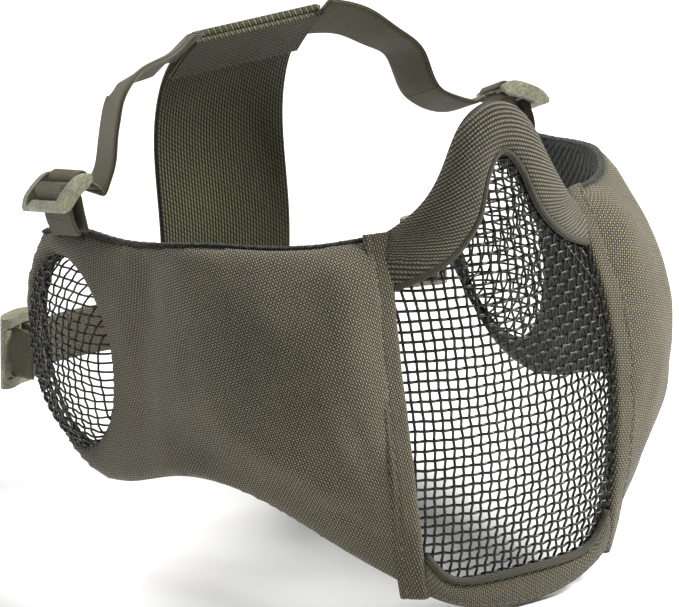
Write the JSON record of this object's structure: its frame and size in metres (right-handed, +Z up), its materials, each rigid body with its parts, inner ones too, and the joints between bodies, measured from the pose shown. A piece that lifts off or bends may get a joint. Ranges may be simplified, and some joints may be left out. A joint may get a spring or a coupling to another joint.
{
  "type": "half-face protective mask",
  "caption": "Half-face games mask: woven-wire front in fabric bands, padded fabric cheeks, ear covers with domed wire windows, buckled elastic head harness.",
  "frame": {"origin": "in the mask's mid-plane, on the line between the centres of the two ear windows, where the middle of the wearer's head is", "axes": "+Y towards the back of the wearer's head, +Z up, +X to the wearer's left"},
  "size_m": [0.1931, 0.1611, 0.1585],
  "materials": {
    "wire_mesh": "satin",
    "buckle_plastic": "matt",
    "foam": "matt",
    "lining": "matt",
    "edge_binding": "matt",
    "back_webbing": "matt",
    "strap_webbing": "matt",
    "twill_band": "matt",
    "cover_fabric": "matt"
  },
  "bodies": {
    "front": {"front_mesh": "wire_mesh", "nose_band": "twill_band", "nose_binding": "twill_band", "nose_lining": "lining", "chin_band": "twill_band", "chin_binding": "twill_band", "chin_lining": "lining"},
    "left_side": {"left_cheek_cover": "cover_fabric", "left_cheek_foam": "foam", "left_cheek_lining": "lining", "left_cheek_edging": "edge_binding", "left_seam_strip": "cover_fabric", "left_ear_cover": "cover_fabric", "left_ear_padding": "foam", "left_ear_lining": "lining", "left_ear_mesh": "wire_mesh", "left_top_tab": "strap_webbing", "left_neck_tab": "strap_webbing", "left_top_strap_drop": "strap_webbing", "left_neck_strap_side": "strap_webbing"},
    "left_top_buckle": {"left_top_buckle": "buckle_plastic", "left_top_eye": "strap_webbing"},
    "left_neck_buckle": {"left_neck_buckle": "buckle_plastic", "left_neck_eye": "strap_webbing"},
    "right_side": {"right_cheek_cover": "cover_fabric", "right_cheek_foam": "foam", "right_cheek_lining": "lining", "right_cheek_edging": "edge_binding", "right_seam_strip": "cover_fabric", "right_ear_cover": "cover_fabric", "right_ear_padding": "foam", "right_ear_lining": "lining", "right_ear_mesh": "wire_mesh", "right_top_tab": "strap_webbing", "right_neck_tab": "strap_webbing", "right_top_strap_drop": "strap_webbing", "right_neck_strap_side": "strap_webbing"},
    "right_top_buckle": {"right_top_buckle": "buckle_plastic", "right_top_eye": "strap_webbing"},
    "right_neck_buckle": {"right_neck_buckle": "buckle_plastic", "right_neck_eye": "strap_webbing"},
    "harness": {"back_panel": "back_webbing", "panel_sleeve": "back_webbing", "neck_strap_middle": "strap_webbing", "left_top_strap_run": "strap_webbing", "right_top_strap_run": "strap_webbing", "left_neck_strap_rear": "strap_webbing", "right_neck_strap_rear": "strap_webbing"}
  },
  "joints": [
    {"name": "left_side_fold", "type": "hinge", "parent": "front", "child": "left_side", "pos_m": [0.0337, -0.09647, 0], "axis": [0, 0.1743, 0.9847], "range_deg": [-8, 12], "deforming": ["left_top_strap_drop", "left_neck_strap_side"]},
    {"name": "left_top_buckle_tilt", "type": "hinge", "parent": "left_side", "child": "left_top_buckle", "pos_m": [0.0862, 0.002, 0.0469], "axis": [0.3002, 0.8704, -0.3902], "range_deg": [-10, 10], "deforming": ["left_top_tab"]},
    {"name": "left_neck_buckle_turn", "type": "hinge", "parent": "left_side", "child": "left_neck_buckle", "pos_m": [0.0795, 0.038, -0.0105], "axis": [0, 0, 1], "range_deg": [-10, 10], "deforming": ["left_neck_tab"]},
    {"name": "right_side_fold", "type": "hinge", "parent": "front", "child": "right_side", "pos_m": [-0.0337, -0.09647, 0], "axis": [0, -0.1743, -0.9847], "range_deg": [-8, 12], "deforming": ["right_top_strap_drop", "right_neck_strap_side"]},
    {"name": "right_top_buckle_tilt", "type": "hinge", "parent": "right_side", "child": "right_top_buckle", "pos_m": [-0.0874, 0.0066, 0.049], "axis": [-0.188, -0.9509, 0.246], "range_deg": [-10, 10], "deforming": ["right_top_tab"]},
    {"name": "right_neck_buckle_turn", "type": "hinge", "parent": "right_side", "child": "right_neck_buckle", "pos_m": [-0.0795, 0.038, -0.0105], "axis": [0, 0, -1], "range_deg": [-10, 10], "deforming": ["right_neck_tab"]},
    {"name": "harness_stretch", "type": "slide", "parent": "front", "child": "harness", "axis": [0, 1, 0], "range_m": [0, 0.035], "stiffness_N_per_m": 60, "deforming": ["left_top_strap_run", "right_top_strap_run", "left_neck_strap_rear", "right_neck_strap_rear"]}
  ]
}
